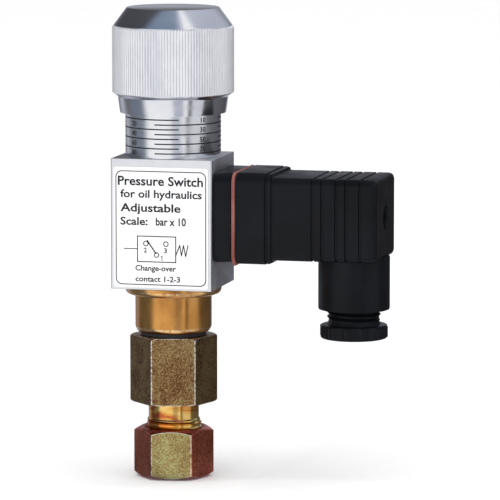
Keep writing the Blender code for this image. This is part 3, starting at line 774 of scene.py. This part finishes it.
print_meshes = [
    written("Pressure Switch", 2.8, -13.8, 13.6, 93.65),
    written("for oil hydraulics", 2.4, -13.0, 13.2, 89.8),
    written("Adjustable", 2.5, -13.0, 6.4, 85.4),
    written("Scale:", 2.4, -13.0, -4.2, 81.2),
    written("bar x 10", 2.4, -1.6, 8.1, 81.2),
    written("Change-over", 1.7, -8.2, 4.9, 66.9),
    written("contact 1-2-3", 1.7, -8.2, 6.2, 63.5),
    written("2", 1.5, -5.5, -4.5, 72.6),
    written("3", 1.5, 1.0, 2.0, 72.6),
    stroke([(0.1, 71.3), (0.4, 71.6), (0.4, 70.2)], 0.24),
    stroke(round_frame(-14.4, 14.45, 62.5, 98.0, 1.9), 0.30, True),
    stroke([(-7.5, 69.7), (4.8, 69.7), (4.8, 77.7), (-7.5, 77.7)], 0.32, True),
    stroke([(-11.8, 73.7), (-7.5, 73.7)], 0.28),
    stroke([(4.8, 71.8), (6.1, 75.1), (6.65, 71.9), (7.3, 75.1), (8.0, 71.7), (8.75, 75.1)], 0.32),
    stroke([(-4.3, 76.3), (-1.6, 72.4)], 0.42),
]
for x, z in ((-4.8, 75.4), (1.65, 75.4), (-1.4, 71.9)):
    print_meshes.append(stroke(small_circle(x, z), 0.28, True))
set_down(
    "label_print", joined("label_print", print_meshes), black_ink, "housing",
)


# ---- Microswitch and its wires -----------------------------------------------------
# A moulded snap switch screwed into the pocket, with a spring steel lever, a red
# button and tinned tags.  Three insulated leads and a green earth lead run to the
# connector.  All of it is closed in by the block and the connector base.

black_case = new_finish("black_case", (0.03, 0.03, 0.033), 0.5)
gloss(black_case, 0.42, 0.58, 500.0)
relief(black_case, 0.02, 0.5, 2500.0)
dress(black_case, "microswitch_case")
red_button = new_finish("red_button", (0.50, 0.08, 0.06), 0.4)
gloss(red_button, 0.32, 0.5, 700.0)
dress(red_button, "switch_button")
tinned_brass = new_finish("tinned_brass", (0.80, 0.77, 0.68), 0.28, 1.0)
shades(
    tinned_brass, (250.0,),
    (0.35, (0.72, 0.66, 0.52)), (0.6, (0.83, 0.81, 0.75)),
)
gloss(tinned_brass, 0.2, 0.4, 500.0)
dress(
    tinned_brass, "earth_blade", "earth_screw", *numbered("switch_terminal", 3),
    *numbered("contact_blade", 3), *numbered("contact_socket", 4),
)
blue_sleeve = new_finish("blue_sleeve", (0.08, 0.17, 0.42), 0.45)
gloss(blue_sleeve, 0.4, 0.55, 500.0)
dress(blue_sleeve, *numbered("lead_wire", 3))
green_sleeve = new_finish("green_sleeve", (0.16, 0.40, 0.08), 0.45)
shades(
    green_sleeve, (260.0, (0.4, 0.4, 1.0)),
    (0.45, (0.12, 0.38, 0.06)), (0.55, (0.60, 0.55, 0.05)),
)
dress(green_sleeve, "earth_wire")


# ---- Connector base ----------------------------------------------------------------
# A square moulding of black glass-filled polyamide, screwed to the side of the
# block at its corners.  It holds the four flat contacts and the nut for the screw.

black_polyamide = new_finish(
    "black_polyamide", (0.004, 0.005, 0.007), 0.36, Specular_IOR_Level=0.14
)
shades(
    black_polyamide, (60.0, (1, 1, 1), 6.0),
    (0.3, (0.0025, 0.003, 0.004)), (0.7, (0.005, 0.006, 0.009)),
)
gloss(black_polyamide, 0.30, 0.42, 150.0)
relief(black_polyamide, 0.025, 0.5, 2800.0, detail=2.0)
relief(black_polyamide, 0.03, 0.35, 420.0)

base_mesh = edges_broken("connector_base", 0.2, 2, 60)
set_down(
    "connector_socket", base_mesh, black_polyamide, "housing",
    ["connector_base"],
)


# ---- Plug gasket --------------------------------------------------------------------
# A flat square gasket of red silicone rubber, squeezed between the base and the plug.
# Its soft rim stands a little proud all round and sags a little below the plug.

def frame_ring(x, left, right, low, high, corner, steps=6):
    """Points of a rounded rectangle across X, y from left to right and z from low to high."""
    corner = max(corner, 0.05)
    return [Vector((x, y, z)) for y, z in round_frame(left, right, low, high, corner, steps)]


CENTRE = 83.7


def square_ring(x, half, corner, steps=6):
    """A rounded square across X about the middle of the plug."""
    return frame_ring(x, -half, half, CENTRE - half, CENTRE + half, corner, steps)


def drawn(name, rings):
    """A solid through rounded rectangles set one behind the other along X."""
    shape = bmesh.new()
    loops = [[shape.verts.new(AXIS + spot * MM) for spot in ring] for ring in rings]
    count = len(loops[0])
    for one, two in zip(loops, loops[1:]):
        for step in range(count):
            ahead = (step + 1) % count
            shape.faces.new((one[step], one[ahead], two[ahead], two[step]))
    shape.faces.new(loops[0][::-1])
    shape.faces.new(loops[-1])
    bmesh.ops.recalc_face_normals(shape, faces=shape.faces)
    return as_mesh(name, shape)


red_silicone = new_finish("red_silicone", (0.36, 0.12, 0.10), 0.5, Specular_IOR_Level=0.3)
shades(
    red_silicone, (180.0,),
    (0.3, (0.22, 0.06, 0.05)), (0.7, (0.32, 0.115, 0.10)),
)
gloss(red_silicone, 0.38, 0.58, 300.0)
relief(red_silicone, 0.03, 0.4, 1600.0)
gasket_rings = []
for x, grow, sag in (
    (22.06, -0.6, 0), (22.35, 0.1, 0.6), (22.8, 0.3, 0.6), (23.25, 0.1, 0.6), (23.54, -0.6, 0)
):
    half = 14.1 + grow
    low = CENTRE - half - sag
    gasket_rings.append(frame_ring(x, -half, half, low, CENTRE + half, 3.2, 10))
gasket_mesh = combined(
    drawn("plug_gasket", gasket_rings), "DIFFERENCE",
    drawn("gasket_window", [square_ring(20.0, 10.9, 0.5), square_ring(25.0, 10.9, 0.5)]),
)
set_down(
    "plug_gasket", gasket_mesh, red_silicone, "plug", ["profile_gasket"], 40.0
)


# ---- Plug housing -------------------------------------------------------------------
# Skirt, cover and cable stub are one moulding of black glass-filled polyamide.  The
# cover steps in behind the skirt, has grip grooves round its far half, a deep recess
# for the screw in its end, and a round stub below for the cable gland.

COVER_SIDE = 13.8
COVER_LOW = 70.8
COVER_HIGH = 96.7
GROOVE = 0.42
GROOVE_HALF = 0.34


def cover_ring(x, inset, corner=2.2):
    """The cover's outline across X, drawn in by an inset."""
    return frame_ring(
        x, -COVER_SIDE + inset, COVER_SIDE - inset, COVER_LOW + inset, COVER_HIGH - inset,
        max(corner - inset, 0.6),
    )


plug_rings = [
    square_ring(23.6, 13.9, 2.8), square_ring(23.75, 14.2, 3.0), square_ring(23.9, 14.3, 3.1),
    square_ring(32.6, 14.3, 3.1), square_ring(32.8, 14.15, 3.0), square_ring(32.85, 13.75, 2.8),
    square_ring(33.35, 13.75, 2.8), square_ring(33.4, 14.1, 3.0), square_ring(33.6, 14.2, 3.1),
    frame_ring(34.75, -14.15, 14.15, 70.0, 97.6, 2.6),
    frame_ring(34.85, -13.7, 13.7, 70.6, 96.9, 2.2),
    frame_ring(35.25, -13.7, 13.7, 70.7, 96.8, 2.2), cover_ring(35.45, 0.0),
]
for groove in (47.85, 50.95, 55.4, 58.5, 62.95):
    plug_rings += [
        cover_ring(groove - GROOVE_HALF - 0.12, 0.0),
        cover_ring(groove - GROOVE_HALF + 0.06, GROOVE),
        cover_ring(groove + GROOVE_HALF - 0.06, GROOVE),
        cover_ring(groove + GROOVE_HALF + 0.12, 0.0),
    ]
plug_rings += [
    cover_ring(66.6, 0.0), cover_ring(67.3, 0.15), cover_ring(67.85, 0.5), cover_ring(68.2, 1.15),
]
STUB_X = 58.2
stub_outline = [(0.0, 71.6), (11.2, 71.6), (11.2, 54.9, 0.5), (0.0, 54.9)]
stub_mesh = lathe("plug_stub", stub_outline, 0.2, 96, (STUB_X, 0))
gland_bore = lathe(
    "gland_bore",
    [
        (0.0, 74.0), (6.2, 74.0), (6.2, 69.7), (8.65, 69.7), (8.65, 56.4), (9.4, 54.0),
        (0.0, 54.0),
    ],
    0.01, 64, (STUB_X, 0),
)
screw_way = lathe(
    "screw_way",
    [
        (0.0, 70.0), (4.4, 70.0), (3.6, 67.4), (3.6, 63.6), (1.9, 63.6), (1.9, 60.0),
        (0.0, 60.0),
    ],
    0.01, 48, (0, CENTRE), "X",
)
cavity = drawn(
    "cavity", [frame_ring(x, -11.7, 11.7, 72.0, 95.4, 0.6) for x in (20.0, 62.0)]
)
plug_mesh = combined(drawn("plug_shell", plug_rings), "UNION", stub_mesh)
plug_mesh = combined(plug_mesh, "DIFFERENCE", cavity, gland_bore, screw_way)
set_down(
    "plug_shell", plug_mesh, black_polyamide, "plug",
    ["plug_housing"], 28.0,
)
grey_carrier = new_finish("grey_carrier", (0.26, 0.27, 0.29), 0.5)
gloss(grey_carrier, 0.44, 0.58, 400.0)
relief(grey_carrier, 0.02, 0.4, 2500.0)
dress(grey_carrier, "contact_carrier")


# ---- Plug screw ---------------------------------------------------------------------
# One long zinc-plated cheese-head screw holds the plug to the base through its
# middle.  Its slotted head lies at the bottom of the recess in the plug's end.

screw_outline = [
    (0.0, 66.8), (3.0, 66.8, 0.35), (3.0, 64.6), (1.45, 64.6), (1.45, 18.0, 0.4), (0.0, 18.0),
]
driver_slot = drawn("driver_slot", [
    frame_ring(x, -4.0, 4.0, CENTRE - 0.4, CENTRE + 0.4, 0.05, 2) for x in (65.9, 68.0)
])
screw_mesh = lathe("plug_fixing_screw", screw_outline, 0.1, 48, (0, CENTRE), "X")
screw_mesh = combined(screw_mesh, "DIFFERENCE", driver_slot)
set_down("plug_fixing_screw", screw_mesh, oiled_steel, "plug_screw", ["plug_screw"])


# ---- Cable gland --------------------------------------------------------------------
# A rubber grommet and a pressure washer sit in the stub, and a moulded nut with a
# coarse thread and a fluted grip rim presses them together.  No cable is fitted.

grommet_outline = [(8.3, 69.5, 1.4), (8.3, 61.5, 0.3), (3.6, 61.5, 0.4), (3.6, 69.5, 0.4)]
grommet = set_down(
    "gland_rubber", lathe("gland_rubber", grommet_outline, 0.3, 64, (STUB_X, 0)),
    black_rubber, "plug", ["gland_grommet"],
)
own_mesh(grommet)
gland_outline = [
    (7.9, 60.5, 0.3), (7.9, 51.6), (8.3, 50.1), (10.3, 50.1, 0.3), (10.3, 45.8, 0.5),
    (6.4, 45.8, 0.4), (5.2, 47.0, 0.3), (5.2, 60.5),
]
gland_mesh = lathe("gland_nut_body", gland_outline, 0.15, 96, (STUB_X, 0))
set_down(
    "gland_nut_body", gland_mesh, black_polyamide, "gland_nut",
    ["gland_nut"],
)
flutes = grown(
    "gland_nut_flutes", ring_of_ribs, Ribs=12, Rib_Sides=12, Core_Radius=8.65 * MM,
    Rib_Depth=2.2 * MM, Bottom=46.4 * MM, Lower_Run_Out=0.45 * MM, Top=49.7 * MM,
    Upper_Run_Out=0.3 * MM, Axis_X=AXIS.x + STUB_X * MM, Finish=black_polyamide,
)
set_down("gland_nut_flutes", flutes, black_polyamide, "gland_nut")


def thread_tree():
    """A ridge of square section on its corner, wound up a cylinder as a thread."""
    tree, size = new_tree(
        "wound_thread", Turns=6.0, Pitch=0.0015, Core_Radius=0.008, Ridge=0.0006,
        Lowest=0.05, Axis_X=0.0, Finish="",
    )
    rise = sums(tree, "MULTIPLY", size["Turns"], size["Pitch"])
    helix = put(tree, "GeometryNodeCurveSpiral", {
        "Resolution": 48, "Rotations": size["Turns"], "Start Radius": size["Core Radius"],
        "End Radius": size["Core Radius"], "Height": rise,
    })
    upright = put(tree, "GeometryNodeSetCurveNormal", {"Curve": helix}, mode="Z_UP")
    ridge = put(tree, "GeometryNodeCurvePrimitiveCircle", {
        "Resolution": 4, "Radius": size["Ridge"],
    })
    swept = put(tree, "GeometryNodeCurveToMesh", {
        "Curve": upright, "Profile Curve": ridge, "Fill Caps": True,
    })
    spot = put(tree, "ShaderNodeCombineXYZ", {"X": size["Axis X"], "Z": size["Lowest"]})
    moved = put(tree, "GeometryNodeTransform", {
        "Geometry": swept, "Translation": spot,
    })
    close_tree(tree, moved, size["Finish"])
    return tree


wound_thread = thread_tree()
gland_thread = grown(
    "gland_nut_thread", wound_thread, Turns=5.2, Pitch=1.5 * MM, Core_Radius=7.9 * MM,
    Ridge=0.55 * MM, Lowest=51.9 * MM, Axis_X=AXIS.x + STUB_X * MM, Finish=black_polyamide,
)
set_down("gland_nut_thread", gland_thread, black_polyamide, "gland_nut")


# ---- Tube adapter -------------------------------------------------------------------
# A steel fitting turned from hexagon bar: a stud screwed into the pressure end, the
# hexagon for the spanner, a neck, and a threaded cone end for the tube.  It is zinc
# plated and yellow passivated, which leaves a mottled skin of olive, gold and brown.

def hexagon_rows(flats, low, high, face, turn, bore):
    """Angles and outlines of a hexagon bar, chamfered at 30 degrees outside a face radius."""
    offsets = (-30, -29.3, -28.6, -27.4, -25, -20, -14, -7, 0, 7, 14, 20, 25, 27.4, 28.6, 29.3)
    slope = math.tan(math.radians(30))
    corner = flats / math.sqrt(3) - 0.12
    angles, rows = [], []
    for side in range(6):
        for offset in offsets:
            reach = flats / 2 / math.cos(math.radians(offset))
            corner_wear = 1.0 if abs(offset) > 29.0 else 0.0
            reach = min(reach, corner)
            rim = min(face, reach - 0.1)
            drop = max((reach - face) * slope, 0.04)
            body = [
                (rim - 0.15, high, 0.0), (rim, high - 0.03, 1.0),
                (reach - 0.06, high - drop + 0.02, 0.2), (reach, high - drop - 0.12, 1.0),
                (reach, high - drop - 0.3, corner_wear),
                (reach, low + drop + 0.3, corner_wear),
                (reach, low + drop + 0.12, 1.0), (reach - 0.06, low + drop - 0.02, 0.2),
                (rim, low + 0.03, 1.0), (rim - 0.15, low, 0.0),
            ]
            angles.append(math.radians(turn + 60 * side + offset))
            rows.append(body + bore)
    return angles, rows


def plated_finish(name, dark, middle, light, wear):
    """Yellow passivated zinc: metallic, mottled in cloudy patches and fine specks."""
    finish = new_finish(name, middle, 0.36, 1.0)
    tree = finish.node_tree
    half = put(tree, "ShaderNodeMix", {
        "Factor": 0.68, "A": grain(finish, 130.0, (1.0, 1.0, 0.7), 3.0, 1.2),
        "B": grain(finish, 2100.0, detail=3.0),
    }, data_type="FLOAT")
    shades(finish, half.outputs["Result"], (0.38, dark), (0.50, middle), (0.60, light))
    gloss(finish, 0.30, 0.46, 2100.0, detail=3.0)
    relief(finish, 0.03, 0.5, 1100.0)
    relief(finish, 0.03, 0.3, 240.0, (1.0, 1.0, 0.15))
    worn(finish, wear, 0.9)
    return finish


olive_plate = plated_finish(
    "olive_plate", (0.12, 0.045, 0.018), (0.27, 0.15, 0.06), (0.40, 0.30, 0.13),
    (0.95, 0.88, 0.74),
)
TURN_ADAPTER = -76.2
HEXAGON_LOW, HEXAGON_HIGH = 23.7, 45.1
adapter_bore = [(7.9, HEXAGON_LOW, 0.0), (7.9, HEXAGON_HIGH, 0.0)]
angles, rows = hexagon_rows(
    24.0, HEXAGON_LOW, HEXAGON_HIGH, 13.0, TURN_ADAPTER, adapter_bore
)
adapter_mesh = spun("adapter_hexagon", rows, angles)
set_down(
    "adapter_hexagon", adapter_mesh, olive_plate, "housing",
    ["tube_adapter"], 24.0,
)
gold_plate = new_finish("gold_plate", (0.86, 0.52, 0.14), 0.16, 1.0)
shades(
    gold_plate, (90.0, (1.0, 1.0, 2.5), 3.0, 0.8),
    (0.36, (0.55, 0.13, 0.04)), (0.48, (0.82, 0.44, 0.10)), (0.66, (0.95, 0.70, 0.25)),
)
gloss(gold_plate, 0.12, 0.24, 200.0)
relief(gold_plate, 0.01, 0.5, 1800.0, (0.02, 0.02, 1.0))
worn(gold_plate, (0.95, 0.85, 0.55), 0.7)
adapter_neck = lathe("adapter_neck", [
    (6.0, 55.6), (6.6, 55.0), (6.6, 44.9), (7.95, 44.9), (7.95, 18.6), (8.35, 18.2),
    (8.35, 6.0), (7.55, 6.0), (6.79, 9.6), (6.1, 9.6), (6.1, 13.0), (4.0, 13.0), (4.0, 55.6),
], 0.1, 96)
set_down("adapter_neck", adapter_neck, gold_plate, "housing")
adapter_thread = grown(
    "adapter_thread", wound_thread, Turns=7.4, Pitch=1.5 * MM, Core_Radius=8.35 * MM,
    Ridge=0.55 * MM, Lowest=6.6 * MM, Axis_X=AXIS.x, Finish=gold_plate,
)
set_down("adapter_thread", adapter_thread, gold_plate, "housing")


# ---- Union nut ----------------------------------------------------------------------
# A plated steel nut, 22 mm across flats, draws the cutting ring onto the tube.  Both ends
# are chamfered and its edges are worn bright; the flats turned aside get a redder painted
# reflection.

nut_plate = plated_finish(
    "nut_plate", (0.24, 0.15, 0.055), (0.40, 0.31, 0.125), (0.48, 0.48, 0.21),
    (0.95, 0.90, 0.72),
)
nut_tree = nut_plate.node_tree
# Painted reflection: flats facing aside are tinted redder, by the way they face, in place of
# reflected colour.
facing = put(nut_tree, "ShaderNodeTexCoord").outputs["Normal"]
parts = put(nut_tree, "ShaderNodeSeparateXYZ", {0: facing})
sideways = put(nut_tree, "ShaderNodeMath", {0: parts.outputs["Y"]}, operation="ABSOLUTE")
painted_reflection_share = put(nut_tree, "ShaderNodeMapRange", {
    "Value": sideways, "From Min": 0.9, "From Max": 0.7,
})
tinged(nut_plate, painted_reflection_share.outputs["Result"], (1.25, 0.40, 0.50), "MULTIPLY")
NUT_HIGH = 15.6
nut_bore = [
    (6.45, 0.0, 0.0), (6.3, 0.15, 1.0), (6.3, 2.7, 0.0), (6.9, 2.7, 0.0), (9.05, 5.0, 0.0),
    (9.05, NUT_HIGH - 0.5, 0.0), (9.5, NUT_HIGH, 0.0),
]
TURN_NUT = TURN_ADAPTER - 3.5
angles, rows = hexagon_rows(22.0, 0.0, NUT_HIGH, 10.5, TURN_NUT, nut_bore)
set_down(
    "union_nut_body", spun("union_nut_body", rows, angles), nut_plate, "union_nut",
    ["union_nut"], 24.0,
)


# ---- Floor, light and camera ----------------------------------------------------------
# A pale table in even white light, with weak soft lamps for shape.  Polished metal
# needs something to mirror, so a tent of lit and dark strips stands round the table;
# only glossy surfaces see it.  The view is from a little to the right and above.

def look_along(azimuth, elevation):
    """The way out from the object; azimuth 0 is the front, and positive is to the right."""
    a, e = math.radians(azimuth), math.radians(elevation)
    return Vector((math.sin(a) * math.cos(e), -math.cos(a) * math.cos(e), math.sin(e)))


def staged(name, spots, faces, finish, height):
    """A mesh that only belongs to the stage."""
    mesh = bpy.data.meshes.new(name)
    mesh.from_pydata(spots, [], faces)
    mesh.materials.append(finish)
    piece = held(name, mesh)
    piece.location.z = height
    piece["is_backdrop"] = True
    return piece


FLOOR = 12.0
floor_corners = [(-FLOOR, -FLOOR, 0), (FLOOR, -FLOOR, 0), (FLOOR, FLOOR, 0), (-FLOOR, FLOOR, 0)]
floor_finish = new_finish("pale_table", (0.98, 0.98, 0.98), 0.6, Specular_IOR_Level=0.2)
gloss(floor_finish, 0.55, 0.7, 3.0)
staged("pale_table", floor_corners, [(0, 1, 2, 3)], floor_finish, -0.2 * MM)


def strips(finish, *stops):
    """Shades round the tent by azimuth, each stop an azimuth and a shade."""
    tree = finish.node_tree
    place = put(tree, "ShaderNodeTexCoord").outputs["Object"]
    around = put(tree, "ShaderNodeTexGradient", {"Vector": place}, gradient_type="RADIAL")
    order = sorted(((0.25 + azimuth / 360) % 1.0, shade) for azimuth, shade in stops)
    return ramp(tree, around.outputs["Fac"], order), place


WHITE = (0.98, 0.98, 0.99)
LIGHT = (0.72, 0.72, 0.76)
LILAC = (0.50, 0.52, 0.60)
SKY = (0.19, 0.25, 0.34)
BLUE = (0.17, 0.20, 0.25)
GREY = (0.16, 0.16, 0.17)
DIM = (0.07, 0.07, 0.08)
tent_finish = new_finish("tent_strips", (0.0, 0.0, 0.0), 1.0, Specular_IOR_Level=0.0)
walls, spot = strips(
    tent_finish, (-122.0, LILAC), (-104.0, GREY), (-80.0, BLUE), (-60.0, BLUE), (-50.0, WHITE),
    (6.0, WHITE), (9.0, LILAC), (29.0, LILAC), (33.0, WHITE), (41.0, WHITE), (44.0, GREY),
    (51.0, GREY), (54.0, LIGHT), (94.0, LIGHT), (99.0, GREY), (172.0, DIM), (182.0, LILAC),
    (206.0, LILAC), (216.0, GREY),
)
roof, spot = strips(
    tent_finish, (-89.0, DIM), (-66.0, DIM), (-48.0, SKY), (12.0, SKY), (30.0, LILAC),
    (40.0, WHITE), (56.0, WHITE), (74.0, LILAC), (150.0, LILAC), (190.0, GREY), (230.0, DIM),
)
tent_tree = tent_finish.node_tree
level = put(tent_tree, "ShaderNodeSeparateXYZ", {0: spot})
rise = put(tent_tree, "ShaderNodeMapRange", {
    "Value": level.outputs["Z"], "From Min": 0.15, "From Max": 0.24,
})
blend = put(tent_tree, "ShaderNodeMix", {
    0: rise.outputs["Result"], 6: walls, 7: roof,
}, data_type="RGBA")
tent_tree.links.new(blend.outputs[2], skin(tent_finish, "Emission Color"))
skin(tent_finish, "Emission Strength").default_value = 1.0

TENT = 0.45
AROUND = 96
spots, faces = [(0.0, 0.0, 0.0)], []
tent_rows = [(TENT * 0.5, 0.0)]
tent_rows += [
    (TENT * math.cos(math.radians(turn)), TENT * math.sin(math.radians(turn)))
    for turn in range(0, 90, 6)
]
for radius, height in tent_rows:
    for turn in range(AROUND):
        angle = 2 * math.pi * turn / AROUND
        spots.append((radius * math.cos(angle), radius * math.sin(angle), height))
spots.append((0.0, 0.0, TENT))
for turn in range(AROUND):
    ahead = (turn + 1) % AROUND
    faces.append((0, 1 + turn, 1 + ahead))
    for row in range(len(tent_rows) - 1):
        one, two = 1 + row * AROUND, 1 + (row + 1) * AROUND
        faces.append((one + turn, two + turn, two + ahead, one + ahead))
    faces.append((two + turn, len(spots) - 1, two + ahead))
tent = staged("strip_tent", spots, faces, tent_finish, -0.1 * MM)
for ray in ("camera", "diffuse", "transmission", "volume_scatter", "shadow"):
    setattr(tent, "visible_" + ray, False)

AIM = Vector((0.0, 0.0, 0.075))


def face_along(holder, target, back, distance):
    """Stand a lamp or camera off a target, looking back at it."""
    holder.location = target + back * distance
    holder.rotation_mode = "QUATERNION"
    holder.rotation_quaternion = back.to_track_quat("Z", "Y")


def soft_light(name, azimuth, elevation, distance, power):
    """A square white lamp aimed at the middle of the object."""
    lamp = bpy.data.lights.new(name, "AREA")
    lamp.shape = "SQUARE"
    lamp.size = 0.9
    lamp.energy = power
    face_along(held(name, lamp), AIM, look_along(azimuth, elevation), distance)


soft_light("left_light", -22.0, 20.0, 1.1, 2.0)
soft_light("top_light", 30.0, 78.0, 1.2, 3.5)

world = bpy.data.worlds.new("white_room")
bpy.context.scene.world = world
world.use_nodes = True
background = world.node_tree.nodes["Background"]
background.inputs["Color"].default_value = (1.0, 1.0, 1.0, 1.0)
background.inputs["Strength"].default_value = 1.0
bpy.context.scene.view_settings.view_transform = "Standard"

camera = bpy.data.cameras.new("camera")
camera.lens = 321.7
camera.clip_start = 0.05
camera.clip_end = 50.0
VIEW_AZIMUTH, VIEW_ELEVATION, VIEW_DISTANCE = 13.8, 7.22, 1.4
LOOKED_AT = Vector((-0.00036, 0.0, 0.07236))
eye = held("camera", camera)
face_along(eye, LOOKED_AT, look_along(VIEW_AZIMUTH, VIEW_ELEVATION), VIEW_DISTANCE)
bpy.context.scene.camera = eye

low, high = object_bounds()
